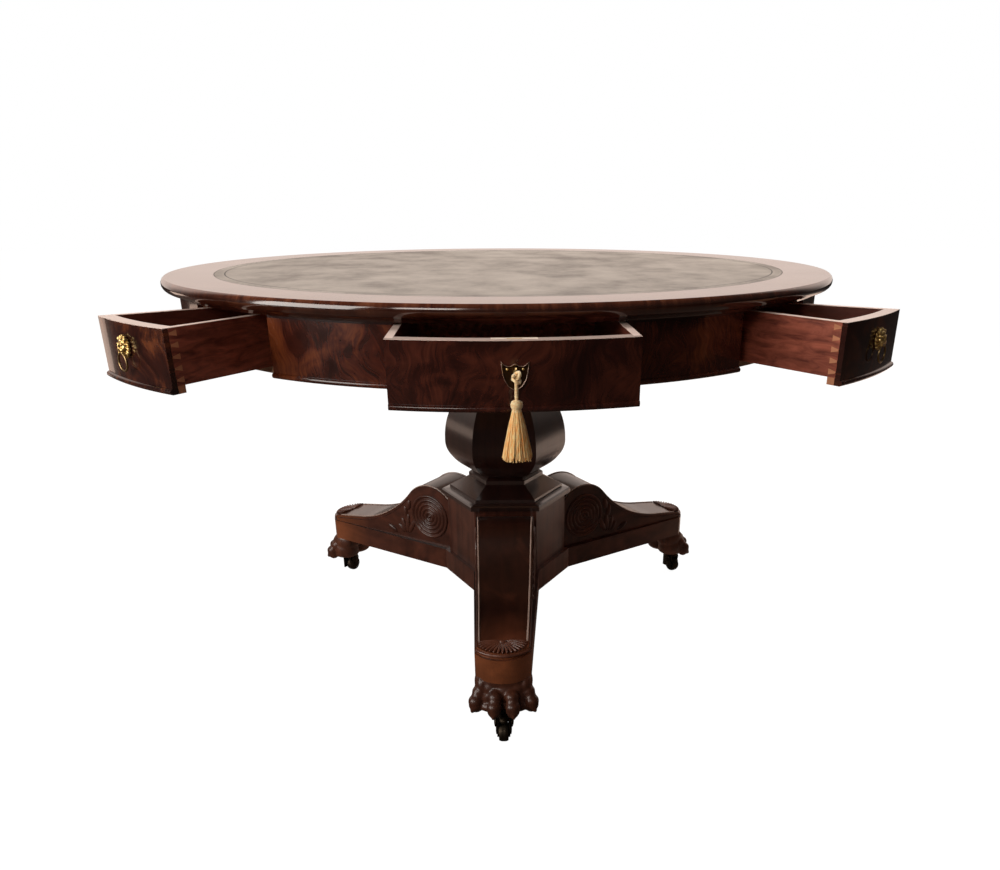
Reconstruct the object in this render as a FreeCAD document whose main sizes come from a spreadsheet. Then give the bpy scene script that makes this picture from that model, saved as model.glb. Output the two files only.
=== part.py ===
import FreeCAD, Part
import math
import os
import re
import Sketcher

# A circular drum table: a leather-topped drum with eight drawers turns on a
# six-sided baluster that stands on three scroll legs with paw feet and casters.
# Frame: millimetres, +Z up, origin on the floor on the axis, front drawer
# towards -Y, and the front leg a little to its left.

SIZES = [
    ("table_height", 750), ("top_radius", 608), ("top_thick", 27), ("nose_bulge", 5.5),
    ("nose_tall", 19), ("cove_in", 18), ("top_border", 85), ("leather_thick", 2),
    ("top_overhang", 26), ("frieze_thick", 24), ("drum_depth", 88), ("bead_radius", 4),
    ("floor_thick", 10), ("run_gap", 0.3), ("edge_gap", 0.8), ("pin_fit", 0.08), ("overcut", 5),
    ("front_thick", 20), ("front_lap", 8), ("front_drop", 3), ("side_thick", 10),
    ("bottom_thick", 6), ("bottom_raise", 5), ("back_drop", 5),
    ("wide_width", 308), ("wide_inner", 175), ("wide_open", 117),
    ("wedge_width", 195), ("wedge_inner", 310), ("wedge_open", 148), ("wedge_open_right", 153),
    ("wedge_slope", 0.194),
    ("dovetail_wide", 9), ("dovetail_narrow", 2), ("dovetail_over", 1),
    ("guide_thick", 16), ("guide_gap", 1.5), ("strip_wide", 20), ("strip_tall", 12),
    ("strip_start", 40),
    ("hub_wide", 220), ("pivot_radius", 16), ("pivot_sunk", 60), ("pivot_below_top", 8),
    ("plate_radius", 150), ("plate_thick", 20),
    ("key_drop", 36), ("key_radius", 2.5), ("key_reach", 18), ("bow_radius", 8), ("bow_wire", 1.6),
    ("bit_thick", 2.4), ("bit_wide", 2.5), ("bit_long", 8), ("knot_gap", 2.5), ("tassel_tuck", 2),
    ("knot_radius", 5), ("cord_radius", 2.2), ("cord_long", 20), ("tassel_head", 6.5),
    ("tassel_long", 60), ("tassel_neck", 5), ("tassel_foot", 17),
    ("lock_wide", 56), ("lock_tall", 48), ("lock_deep", 10), ("lock_wall", 2),
    ("lock_proud", 2), ("mortise_gap", 1),
    ("bolt_wide", 18), ("bolt_thick", 5), ("bolt_tall", 24), ("bolt_throw", 8),
    ("shield_wide", 33), ("shield_tall", 34), ("shield_thick", 1.4),
    ("mask_drop", 31), ("mask_radius", 14), ("mask_thick", 5), ("lip_wide", 8), ("lip_deep", 9),
    ("ring_radius", 12), ("ring_wire", 1.5), ("ring_bore", 2.6), ("ring_out", 9), ("ring_low", 8),
    ("column_foot", 343), ("neck_half", 60), ("belly_half", 97), ("bulb_half", 109), ("shoulder_half", 80),
    ("waist_half", 56), ("crown_half", 74), ("crown_tall", 10),
    ("block_top", 290), ("block_radius", 126), ("collar_half", 119.5), ("collar_edge", 8),
    ("bevel", 2.5), ("tread_in", 15), ("tread_up", 4), ("riser_in", 16), ("riser_up", 11),
    ("neck_ring", 8), ("neck_ring_low", 14), ("neck_ring_high", 6),
    ("band_radius", 136), ("leg_bottom", 112), ("band_top", 157),
    ("scroll_out", 165), ("scroll_up", 222), ("scroll_radius", 70),
    ("sweep_out", 218.6), ("sweep_up", 267), ("sweep_radius", 250), ("toe_out", 375), ("toe_up", 180),
    ("tip_up", 167),
    ("leg_out", 452), ("leg_bow", 28), ("toe_lean", 6), ("leg_half", 59), ("leg_tip_half", 45),
    ("band_half", 68), ("band_tip_half", 49),
    ("paw_bottom", 52), ("paw_out", 512), ("paw_back", 422), ("paw_half", 57), ("paw_heel_half", 42),
    ("paw_nose_in", 8), ("paw_nose_up", 16), ("paw_nose_round", 14), ("paw_brow_round", 70),
    ("caster_out", 468), ("caster_trail", 14), ("wheel_radius", 17), ("wheel_wide", 16),
    ("axle_radius", 3), ("swivel_radius", 15), ("swivel_thick", 4), ("swivel_inset", 2),
    ("fork_cheek", 3), ("fork_half", 8),
    ("frieze_radius", "=top_radius - top_overhang"), ("leather_radius", "=top_radius - top_border"),
]
NAMES = {name for name, value in SIZES}

doc = FreeCAD.newDocument("drum_table")
sheet = doc.addObject("Spreadsheet::Sheet", "Sizes")
for row, (name, value) in enumerate(SIZES, 1):
    sheet.set("A%d" % row, name)
    sheet.set("B%d" % row, str(value))
    sheet.setAlias("B%d" % row, name)
doc.recompute()

# Heights and radii that several pieces share, written from the driving sizes.
UNDER = "(table_height - top_thick)"
DRUM_BOTTOM = "(table_height - top_thick - drum_depth)"
FLOOR_TOP = "(table_height - top_thick - drum_depth + floor_thick)"
FRONT_TOP = "(table_height - top_thick - front_drop)"
FRONT_INNER = "(frieze_radius - front_thick)"
FRIEZE_INNER = "(frieze_radius - frieze_thick)"
PLATE_TOP = "(table_height - top_thick - drum_depth - run_gap)"
COLUMN_TOP = "(table_height - top_thick - drum_depth - run_gap - plate_thick)"
KEY_UP = "(table_height - top_thick - front_drop - key_drop)"
MASK_UP = "(table_height - top_thick - front_drop - mask_drop)"
BOW_OUT = "(frieze_radius + key_reach + bow_radius)"
KNOT_OUT = "(frieze_radius + key_reach + 2 * bow_radius + knot_gap)"
BLOCK_HALF = "(block_radius * cos(30))"
BAND_HALF = "(band_radius * cos(30))"
COLUMN_TALL = "(%s - column_foot)" % COLUMN_TOP
FAR = "(2 * top_radius)"

# The drum stands turned on its pivot, so the base is this many degrees off the drawers.
BASE_TURN = -2.4

X_AXIS = FreeCAD.Vector(1, 0, 0)
Y_AXIS = FreeCAD.Vector(0, 1, 0)
Z_AXIS = FreeCAD.Vector(0, 0, 1)
# Sketch planes: local x and y map to these directions.
FLAT = FreeCAD.Rotation()
UPRIGHT = FreeCAD.Rotation(X_AXIS, 90)
SIDEWAYS = FreeCAD.Rotation(-Y_AXIS, Z_AXIS, -X_AXIS, "XYZ")


def formula(text):
    return re.sub(r"[a-z_]+", lambda m: "Sizes." + m.group() if m.group() in NAMES else m.group(), text)


def number(text):
    value = sheet.evalExpression(formula(text))
    return float(getattr(value, "Value", value))


def bind(obj, **sizes):
    for prop, text in sizes.items():
        obj.setExpression(prop, formula(text))
    return obj


def lift(obj, up, along=None):
    obj.setExpression("Placement.Base.z", formula(up))
    if along:
        obj.setExpression("Placement.Base.y", formula("-(" + along + ")"))
    return obj


def turned(obj, turn, out="0"):
    """Turn about the table axis, then move out along the turned -Y direction."""
    obj.Placement = FreeCAD.Placement(FreeCAD.Vector(), FreeCAD.Rotation(Z_AXIS, turn))
    if out != "0":
        obj.setExpression("Placement.Base.x", formula("sin(%s) * (%s)" % (turn, out)))
        obj.setExpression("Placement.Base.y", formula("-cos(%s) * (%s)" % (turn, out)))
    return obj


def tapered(name, half_near, half_far, near, far, low, high, turn=0):
    """Block between two distances out along -Y, with its own half width at each."""
    obj = doc.addObject("Part::Wedge", name)
    bind(obj, Xmin="-(%s)" % half_far, Xmax=half_far, X2min="-(%s)" % half_near, X2max=half_near)
    bind(obj, Ymin="-(%s)" % far, Ymax="-(%s)" % near)
    bind(obj, Zmin=low, Zmax=high, Z2min=low, Z2max=high)
    return turned(obj, turn)


def block(name, left, right, near, far, low, high, turn=0):
    obj = doc.addObject("Part::Wedge", name)
    bind(obj, Xmin=left, Xmax=right, X2min=left, X2max=right)
    bind(obj, Ymin="-(%s)" % far, Ymax="-(%s)" % near)
    bind(obj, Zmin=low, Zmax=high, Z2min=low, Z2max=high)
    return turned(obj, turn)


def round_post(name, radius, low, high):
    obj = doc.addObject("Part::Cylinder", name)
    bind(obj, Radius=radius, Height="(%s) - (%s)" % (high, low))
    return lift(obj, low)


def rod(name, radius, near, far, up):
    """Round bar lying along -Y between two distances from the axis."""
    obj = doc.addObject("Part::Cylinder", name)
    obj.Placement = FreeCAD.Placement(FreeCAD.Vector(), FreeCAD.Rotation(X_AXIS, 90))
    bind(obj, Radius=radius, Height="(%s) - (%s)" % (far, near))
    return lift(obj, up, near)


def cross_rod(name, radius, half, along, up):
    """Round bar lying along X, centred on the plane x = 0."""
    obj = doc.addObject("Part::Cylinder", name)
    obj.Placement = FreeCAD.Placement(FreeCAD.Vector(), FreeCAD.Rotation(Y_AXIS, 90))
    bind(obj, Radius=radius, Height="2 * (%s)" % half)
    obj.setExpression("Placement.Base.x", formula("-(%s)" % half))
    return lift(obj, up, along)


def ring_wire(name, ring, wire, along, up, tip):
    """Ring of wire, tipped a quarter turn about an axis from lying flat."""
    obj = doc.addObject("Part::Torus", name)
    obj.Placement = FreeCAD.Placement(FreeCAD.Vector(), FreeCAD.Rotation(tip, 90))
    bind(obj, Radius1=ring, Radius2=wire)
    return lift(obj, up, along)


def joined(kind, name, pieces):
    obj = doc.addObject("Part::" + kind, name)
    if kind == "Compound":
        obj.Links = pieces
    else:
        obj.Shapes = pieces
    return obj


def cut(name, base, tool):
    obj = doc.addObject("Part::Cut", name)
    obj.Base = base
    obj.Tool = tool
    return obj


def share_of_chord(start, end, share):
    """Radius of an arc as a share of the straight line between its two ends."""
    return "%s * sqrt(((%s) - (%s)) ^ 2 + ((%s) - (%s)) ^ 2)" % (share, end[0], start[0], end[1], start[1])


def arc_between(start, end, radius, side):
    middle = (start + end) * 0.5
    along = end - start
    left = FreeCAD.Vector(-along.y, along.x, 0).normalize()
    centre = middle + left * side * math.sqrt(max(radius ** 2 - (along.Length / 2) ** 2, 0))
    first, last = (start, end) if side > 0 else (end, start)
    angles = [math.atan2(p.y - centre.y, p.x - centre.x) for p in (first, last)]
    if angles[1] < angles[0]:
        angles[1] += 2 * math.pi
    return Part.ArcOfCircle(Part.Circle(centre, Z_AXIS, radius), *angles)


def outline(name, plane, corners, arcs=None):
    """Closed sketch through the corners; arcs maps a side's number to its radius
    and to the hand its centre lies on, +1 for the left of the way round."""
    arcs = arcs or {}
    sketch = doc.addObject("Sketcher::SketchObject", name)
    sketch.Placement = FreeCAD.Placement(FreeCAD.Vector(), plane)
    points = [FreeCAD.Vector(number(x), number(y), 0) for x, y in corners]
    starts = []
    ends = []
    for i, start in enumerate(points):
        end = points[(i + 1) % len(points)]
        radius, side = arcs.get(i, (None, 1))
        if radius:
            shape = arc_between(start, end, number(radius), side)
        else:
            shape = Part.LineSegment(start, end)
        sketch.addGeometry(shape, False)
        starts.append((i, 1 if side > 0 else 2))
        ends.append((i, 2 if side > 0 else 1))
    for i in range(len(points)):
        sketch.addConstraint(Sketcher.Constraint("Coincident", *ends[i - 1], *starts[i]))
    for i, (x, y) in enumerate(corners):
        for kind, text, value in (("DistanceX", x, points[i].x), ("DistanceY", y, points[i].y)):
            at = sketch.addConstraint(Sketcher.Constraint(kind, -1, 1, *starts[i], value))
            sketch.setExpression("Constraints[%d]" % at, formula(text))
    for i, (radius, side) in arcs.items():
        at = sketch.addConstraint(Sketcher.Constraint("Radius", i, number(radius)))
        sketch.setExpression("Constraints[%d]" % at, formula(radius))
    return sketch


def spun(name, sketch):
    obj = doc.addObject("Part::Revolution", name)
    obj.Source = sketch
    obj.Axis = Z_AXIS
    obj.Angle = 360
    obj.Solid = True
    return obj


def padded(name, sketch, length, turn=0):
    """Sketch thickened to both sides of its plane."""
    obj = doc.addObject("Part::Extrusion", name)
    obj.Base = sketch
    obj.DirMode = "Normal"
    obj.Solid = True
    obj.Symmetric = True
    bind(obj, LengthFwd=length)
    return turned(obj, turn)


NODES = {}


def keep(name, obj):
    obj.Label = name
    NODES[name] = obj
    return obj


def copies(name, pattern, places):
    """One named piece or group: the pattern at each (turn, out) place."""
    if len(places) == 1:
        return keep(name, turned(joined("Compound", name + "_node", [pattern]), *places[0]))
    each = [turned(joined("Compound", name + "_%d" % i, [pattern]), *place) for i, place in enumerate(places)]
    return keep(name, joined("Compound", name + "_node", each))


def six_sided(name, right, arcs):
    """Six-sided turning: the same silhouette padded three ways and shared."""
    mirrored = [("-(%s)" % x, y) for x, y in reversed(right)]
    last = len(right) - 1
    both = dict(arcs)
    for i, arc in arcs.items():
        both[len(right) + last - 1 - i] = arc
    sketch = outline(name + "_outline", SIDEWAYS, right + mirrored, both)
    walls = []
    for turn in (0, 60, 120):
        walls.append(padded(name + "_pad_%d" % turn, sketch, "4 * block_radius", BASE_TURN + turn))
    return joined("MultiCommon", name + "_six", walls)


# Eight places round the drum: wide drawers at the quarters, tapering drawers between.
WIDE = {"front": (0, "wide_open"), "right": (90, "0"), "back": (180, "0"), "left": (270, "0")}
WEDGE = {
    "front_left": (315, "wedge_open"), "front_right": (45, "wedge_open_right"),
    "back_right": (135, "0"), "back_left": (225, "0"),
}
SLOPE = {"wide": "0", "wedge": "wedge_slope"}


def half_width(kind, out, inset="0"):
    """Half width of a drawer at a distance out from the axis, less an inset from its side."""
    slope = SLOPE[kind]
    return "(%s_width / 2 - (frieze_radius - (%s)) * %s - (%s) * sqrt(1 + (%s) ^ 2))" % (
        kind, out, slope, inset, slope)


def drawer_block(name, kind, inset, near, far, low, high, turn=0):
    half_near = half_width(kind, near, inset)
    half_far = half_width(kind, far, inset)
    return tapered(name, half_near, half_far, near, far, low, high, turn)


# Top board with a rounded nose, a cove beneath it and a shallow bed for the leather.
top_outline = outline("top_outline", UPRIGHT, [
    ("0", UNDER), ("top_radius - nose_bulge - cove_in", UNDER),
    ("top_radius - nose_bulge", "table_height - nose_tall"), ("top_radius - nose_bulge", "table_height"),
    ("leather_radius", "table_height"), ("leather_radius", "table_height - leather_thick"),
    ("0", "table_height - leather_thick")],
    {1: ("cove_in", -1), 2: ("(nose_tall ^ 2 / 4 + nose_bulge ^ 2) / (2 * nose_bulge)", 1)})
top_disc = spun("top_disc", top_outline)
BOLT_NEAR = "(%s + lock_deep / 2 - bolt_thick / 2)" % FRONT_INNER
BOLT_FAR = "(%s + lock_deep / 2 + bolt_thick / 2)" % FRONT_INNER
mortises = [
    block("bolt_mortise_%s" % side, "-(bolt_wide / 2 + mortise_gap)", "bolt_wide / 2 + mortise_gap",
          BOLT_NEAR + " - mortise_gap", BOLT_FAR + " + mortise_gap", UNDER + " - mortise_gap",
          UNDER + " + bolt_throw + mortise_gap", turn)
    for side, (turn, out) in WIDE.items()]
keep("top_board", cut("top_cut", top_disc, joined("Compound", "bolt_mortises", mortises)))
leather_low = "table_height - leather_thick"
keep("leather_panel", round_post("leather_disc", "leather_radius", leather_low, "table_height"))


# Frieze: a ring with a half-round bead along its foot, open at each drawer.
def frieze_ring(name, inner, high):
    bead_top = DRUM_BOTTOM + " + 2 * bead_radius"
    sketch = outline(name + "_outline", UPRIGHT, [
        (inner, DRUM_BOTTOM), ("frieze_radius", DRUM_BOTTOM), ("frieze_radius", bead_top),
        ("frieze_radius", high), (inner, high)], {1: ("bead_radius * 1.001", 1)})
    return spun(name, sketch)


openings = []
for kind, drawers in (("wide", WIDE), ("wedge", WEDGE)):
    for side, (turn, out) in drawers.items():
        openings.append(drawer_block("opening_" + side + "_" + kind, kind, "-edge_gap", kind + "_inner",
                                     "top_radius", DRUM_BOTTOM + " - overcut", UNDER + " + overcut", turn))
keep("frieze_panels", cut("frieze_cut", frieze_ring("frieze_ring", FRIEZE_INNER, UNDER),
                          joined("Compound", "drawer_openings", openings)))

# Drum floor, and the hub over the pivot that ties it to the top.
floor_disc = round_post("floor_disc", FRIEZE_INNER, DRUM_BOTTOM, FLOOR_TOP)
pivot_hole = round_post("pivot_hole", "pivot_radius + pin_fit",
                        DRUM_BOTTOM + " - overcut", UNDER + " + overcut")
keep("drum_floor", cut("floor_cut", floor_disc, pivot_hole))
hub_block = block("hub_block", "-hub_wide / 2", "hub_wide / 2", "-hub_wide / 2", "hub_wide / 2",
                  FLOOR_TOP, UNDER)
keep("drum_hub", cut("hub_cut", hub_block, pivot_hole))

# Guides: tall boards beside each wide drawer and low strips beside each tapering one.
GUIDE_IN = "(wide_width / 2 + guide_gap)"
GUIDE_OUT = "(wide_width / 2 + guide_gap + guide_thick)"
guide_blanks = []
for side, (turn, out) in WIDE.items():
    for hand, left, right in (("a", GUIDE_IN, GUIDE_OUT), ("b", "-" + GUIDE_OUT, "-" + GUIDE_IN)):
        guide_blanks.append(block("guide_%s_%s" % (hand, side), left, right, GUIDE_OUT, "frieze_radius",
                                  FLOOR_TOP, UNDER, turn))
for side, (turn, out) in WEDGE.items():
    outer = drawer_block("strip_outer_" + side, "wedge", "-(guide_gap + strip_wide)",
                         "wedge_inner + strip_start", "frieze_radius",
                         FLOOR_TOP, FLOOR_TOP + " + strip_tall", turn)
    inner = drawer_block("strip_inner_" + side, "wedge", "-guide_gap", "wedge_inner", "top_radius",
                         FLOOR_TOP + " - overcut", FLOOR_TOP + " + strip_tall + overcut", turn)
    guide_blanks.append(cut("strips_" + side, outer, inner))
guide_round = round_post("guide_round", FRIEZE_INNER, FLOOR_TOP, UNDER)
keep("drawer_guides", joined("MultiCommon", "guides_trimmed",
                             [joined("Compound", "guide_blanks", guide_blanks), guide_round]))


# Drawers, drawn closed and facing -Y: a bowed front, two dovetailed sides, a back and a bottom.
DOVETAILS = 5


def drawer_parts(kind):
    inner = kind + "_inner"
    side_low = FLOOR_TOP + " + run_gap"
    bottom_low = FLOOR_TOP + " + bottom_raise"
    bottom_high = FLOOR_TOP + " + bottom_raise + bottom_thick"
    front_ring = frieze_ring(kind + "_front_ring", FRONT_INNER, FRONT_TOP)
    shell = drawer_block(kind + "_shell", kind, "0", inner, "top_radius", side_low, FRONT_TOP)
    inside = drawer_block(kind + "_inside", kind, "side_thick", inner + " - overcut", "top_radius + overcut",
                          side_low + " - overcut", FRONT_TOP + " + overcut")
    lap_round = round_post(kind + "_lap_round", "frieze_radius - front_lap", side_low, FRONT_TOP)
    boards = joined("MultiCommon", kind + "_boards", [cut(kind + "_walls", shell, inside), lap_round])
    pins = []
    pitch = "((%s) - (%s)) / %d" % (FRONT_TOP, side_low, DOVETAILS)
    ends_near = "(sqrt(%s ^ 2 - (%s_width / 2) ^ 2) - dovetail_over)" % (FRONT_INNER, kind)
    ends_far = "(sqrt((frieze_radius - front_lap) ^ 2 - (%s_width / 2) ^ 2) + dovetail_over)" % kind
    for i in range(DOVETAILS):
        middle = "(%s) + %s * %s" % (side_low, pitch, i + 0.5)
        pin = doc.addObject("Part::Wedge", "%s_dovetail_%d" % (kind, i))
        bind(pin, Xmin="-%s_width" % kind, Xmax=kind + "_width")
        bind(pin, X2min="-%s_width" % kind, X2max=kind + "_width")
        bind(pin, Ymin="-" + ends_far, Ymax="-" + ends_near)
        bind(pin, Zmin=middle + " - dovetail_narrow / 2", Zmax=middle + " + dovetail_narrow / 2")
        bind(pin, Z2min=middle + " - dovetail_wide / 2", Z2max=middle + " + dovetail_wide / 2")
        pins.append(pin)
    held = joined("MultiCommon", kind + "_held_pins", [joined("Compound", kind + "_pins", pins), front_ring])
    sides = cut(kind + "_sides", boards, held)
    face = drawer_block(kind + "_face", kind, "0", inner, "top_radius", DRUM_BOTTOM, FRONT_TOP)
    front = cut(kind + "_front", joined("MultiCommon", kind + "_bow", [front_ring, face]), sides)
    back = drawer_block(kind + "_back", kind, "side_thick", inner, inner + " + side_thick", bottom_high,
                        FRONT_TOP + " - back_drop")
    bottom_blank = drawer_block(kind + "_bottom_blank", kind, "side_thick", inner, "frieze_radius",
                                bottom_low, bottom_high)
    inner_round = round_post(kind + "_inner_round", FRONT_INNER, bottom_low, bottom_high)
    bottom = joined("MultiCommon", kind + "_bottom", [bottom_blank, inner_round])
    return front, sides, back, bottom


# Lock of a wide drawer: a hollow case let into the front, its bolt, and a shield outside.
def lock_parts():
    lock_low = FRONT_TOP + " - lock_tall"
    case_far = FRONT_INNER + " + lock_deep"
    case_near = FRONT_INNER + " - lock_proud"
    outer = block("lock_outer", "-lock_wide / 2", "lock_wide / 2", case_near, case_far, lock_low, FRONT_TOP)
    hollow = block("lock_hollow", "lock_wall - lock_wide / 2", "lock_wide / 2 - lock_wall",
                   case_near + " + lock_wall", case_far + " - lock_wall",
                   lock_low + " + lock_wall", FRONT_TOP + " - lock_wall")
    slot = block("bolt_slot", "-(bolt_wide / 2 + run_gap)", "bolt_wide / 2 + run_gap",
                 BOLT_NEAR + " - run_gap", BOLT_FAR + " + run_gap",
                 FRONT_TOP + " - lock_wall - overcut", FRONT_TOP + " + overcut")
    keyhole = rod("keyhole", "key_radius + pin_fit", case_far + " - lock_wall - overcut",
                  "frieze_radius + key_reach", KEY_UP)
    case = cut("lock_case_cut", outer, joined("MultiFuse", "lock_spaces", [hollow, slot, keyhole]))
    bolt = block("bolt_bar", "-bolt_wide / 2", "bolt_wide / 2", BOLT_NEAR, BOLT_FAR,
                 FRONT_TOP + " - bolt_tall", FRONT_TOP)
    shield_low = KEY_UP + " - shield_tall * 2 / 3"
    shield_high = KEY_UP + " + shield_tall / 3"
    shield_sketch = outline("shield_outline", UPRIGHT, [
        ("0", shield_low), ("shield_wide / 2", KEY_UP), ("shield_wide / 2", shield_high),
        ("-shield_wide / 2", shield_high), ("-shield_wide / 2", KEY_UP)],
        {0: ("shield_wide", 1), 4: ("shield_wide", 1)})
    skin_low = shield_low + " - overcut"
    skin = cut("shield_skin", round_post("skin_outer", "frieze_radius + shield_thick", skin_low, FRONT_TOP),
               round_post("skin_inner", "frieze_radius", skin_low, FRONT_TOP))
    half = block("shield_side", "-shield_wide", "shield_wide", "0", FAR, skin_low, FRONT_TOP)
    shield_pad = padded("shield_pad", shield_sketch, "2 * " + FAR)
    shield_blank = joined("MultiCommon", "shield_blank", [shield_pad, skin, half])
    return outer, keyhole, case, bolt, cut("shield_cut", shield_blank, keyhole)


wide_front, wide_sides, wide_back, wide_bottom = drawer_parts("wide")
lock_bed, keyhole, lock_case, lock_bolt, shield = lock_parts()
wide_front = cut("wide_front_bored", wide_front, joined("MultiFuse", "lock_bed", [lock_bed, keyhole]))
wide_box = joined("Compound", "wide_box", [wide_sides, wide_back, wide_bottom])
lock_set = joined("Compound", "lock_set", [lock_case, shield])

# The front drawer keeps every board in its own node; the other wide drawers repeat it.
front_place = [WIDE["front"]]
copies("front_drawer_front", wide_front, front_place)
copies("front_drawer_sides", wide_sides, front_place)
copies("front_drawer_back", wide_back, front_place)
copies("front_drawer_bottom", wide_bottom, front_place)
copies("front_drawer_lock_case", lock_case, front_place)
copies("front_drawer_lock_bolt", lock_bolt, front_place)
copies("front_drawer_escutcheon", shield, front_place)
for side in ("right", "back", "left"):
    copies(side + "_drawer_front", wide_front, [WIDE[side]])
    copies(side + "_drawer_box", wide_box, [WIDE[side]])
    copies(side + "_drawer_lock", lock_set, [WIDE[side]])

# Key in the front lock: shank, bit and ring bow; a knotted cord on the bow carries the tassel.
KEY_TIP = "(%s + lock_deep / 2 - bit_wide / 2)" % FRONT_INNER
shank = rod("key_shank", "key_radius", KEY_TIP, "frieze_radius + key_reach + bow_wire", KEY_UP)
bit = block("key_bit", "-bit_thick / 2", "bit_thick / 2", KEY_TIP, KEY_TIP + " + bit_wide",
            KEY_UP + " - bit_long", KEY_UP)
bow = ring_wire("key_bow", "bow_radius", "bow_wire", BOW_OUT, KEY_UP, Y_AXIS)
key_body = joined("MultiFuse", "key_body", [shank, bit, bow])
knot_ball = doc.addObject("Part::Sphere", "knot_ball")
lift(bind(knot_ball, Radius="knot_radius"), KEY_UP, KNOT_OUT)
knot = cut("knot_cut", knot_ball, key_body)
CORD_TOP = "(%s - knot_radius - run_gap)" % KEY_UP
CORD_LOW = "(%s - knot_radius - run_gap - cord_long)" % KEY_UP
cord = round_post("cord_run", "cord_radius", CORD_LOW, CORD_TOP)
lift(cord, CORD_LOW, KNOT_OUT)
head = doc.addObject("Part::Sphere", "tassel_ball")
lift(bind(head, Radius="tassel_head"), CORD_LOW + " - tassel_head", KNOT_OUT)
skirt = doc.addObject("Part::Cone", "tassel_skirt")
bind(skirt, Radius1="tassel_foot", Radius2="tassel_neck", Height="tassel_long")
lift(skirt, CORD_LOW + " - 2 * tassel_head - tassel_long + tassel_tuck", KNOT_OUT)
tassel = joined("MultiFuse", "tassel_body", [head, skirt])
copies("key", key_body, front_place)
copies("tassel_knot", knot, front_place)
copies("tassel_cord", cord, front_place)
copies("tassel", tassel, front_place)

# Tapering drawers, each with a mask on its front and a ring through the mask's mouth.
wedge_front, wedge_sides, wedge_back, wedge_bottom = drawer_parts("wedge")
RING_UP = "(%s - ring_low)" % MASK_UP
RING_OUT = "(frieze_radius + ring_out)"
mask_post = rod("mask_post", "mask_radius / 4", FRONT_INNER, "frieze_radius + mask_thick / 2", MASK_UP)
mask_blank = rod("mask_blank", "mask_radius", FRONT_INNER, "frieze_radius + mask_thick", MASK_UP)
mask_disc = cut("mask_disc", mask_blank, round_post("mask_seat", "frieze_radius", DRUM_BOTTOM, UNDER))
lip = block("mask_lip", "-lip_wide / 2", "lip_wide / 2",
            "frieze_radius + mask_thick / 2", RING_OUT + " + lip_deep / 2",
            RING_UP + " - lip_deep / 2", RING_UP + " + lip_deep / 2")
mouth = cross_rod("mask_mouth", "ring_bore", "lip_wide", RING_OUT, RING_UP)
mask = cut("mask_cut", joined("MultiFuse", "mask_body", [mask_post, mask_disc, lip]), mouth)
pull_ring = ring_wire("pull_ring", "ring_radius", "ring_wire", RING_OUT, RING_UP + " - ring_radius", X_AXIS)
wedge_front = cut("wedge_front_bored", wedge_front, mask_post)
wedge_walls = joined("Compound", "wedge_walls", [wedge_sides, wedge_back])
wedge_box = joined("Compound", "wedge_box", [wedge_sides, wedge_back, wedge_bottom])
for side, place in WEDGE.items():
    copies(side + "_drawer_front", wedge_front, [place])
    if place[1] == "0":
        copies(side + "_drawer_box", wedge_box, [place])
    else:
        copies(side + "_drawer_walls", wedge_walls, [place])
        copies(side + "_drawer_bottom", wedge_bottom, [place])
    copies(side + "_drawer_mask", mask, [place])
    copies(side + "_drawer_ring", pull_ring, [place])

# Bearing plate and pivot pin that the drum turns on.
pin_low = COLUMN_TOP + " - pivot_sunk"
pivot = keep("pivot_pin", round_post("pivot_post", "pivot_radius", pin_low, UNDER + " - pivot_below_top"))
plate_disc = round_post("plate_disc", "plate_radius", COLUMN_TOP, PLATE_TOP)
keep("bearing_plate", cut("plate_cut", plate_disc, pivot))

# Six-sided baluster and the stepped collar under it.
column_right = [
    ("neck_half", "column_foot"), ("belly_half", "column_foot + 0.105 * " + COLUMN_TALL),
    ("bulb_half", "column_foot + 0.245 * " + COLUMN_TALL),
    ("shoulder_half", "column_foot + 0.596 * " + COLUMN_TALL),
    ("waist_half", "column_foot + 0.839 * " + COLUMN_TALL),
    ("crown_half", COLUMN_TOP + " - crown_tall"), ("crown_half", COLUMN_TOP)]
column_arcs = {}
for i, (share, hand) in enumerate(((1.6, 1), (1.35, 1), (1.66, 1), (2.22, -1), (1.43, -1))):
    column_arcs[i] = (share_of_chord(column_right[i], column_right[i + 1], share), hand)
keep("column", cut("column_cut", six_sided("column", column_right, column_arcs), pivot))
collar_right = [
    ("collar_half", "block_top"), ("collar_half", "block_top + collar_edge"),
    ("collar_half - bevel", "block_top + collar_edge + bevel"),
    ("collar_half - tread_in", "block_top + collar_edge + tread_up"),
    ("collar_half - riser_in", "block_top + collar_edge + riser_up"),
    ("neck_half + neck_ring", "column_foot - neck_ring_low"),
    ("neck_half + neck_ring", "column_foot - neck_ring_high"), ("neck_half", "column_foot")]
keep("column_collar", six_sided("collar", collar_right, {}))

# Six-sided block with a band round its foot.
prisms = []
for name, radius, high in (("block_prism", "block_radius", "block_top"),
                           ("band_prism", "band_radius", "band_top")):
    prism = doc.addObject("Part::Prism", name)
    prism.Polygon = 6
    bind(prism, Circumradius=radius, Height="(%s) - leg_bottom" % high)
    prisms.append(lift(turned(prism, BASE_TURN), "leg_bottom"))
keep("base_block", joined("MultiFuse", "block_body", prisms))

# Leg: a scroll board over a wider band, both narrowing to a bowed toe.
scroll_side = outline("leg_side", SIDEWAYS, [
    (BLOCK_HALF, "band_top"), ("leg_out + leg_bow", "band_top"), ("leg_out + leg_bow - toe_lean", "tip_up"),
    ("toe_out", "toe_up"), ("sweep_out", "sweep_up"),
    (BLOCK_HALF, "scroll_up + sqrt(scroll_radius ^ 2 - (scroll_out - %s) ^ 2)" % BLOCK_HALF)],
    {1: ("leg_bow", 1), 3: ("sweep_radius", -1), 4: ("scroll_radius", 1)})


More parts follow.
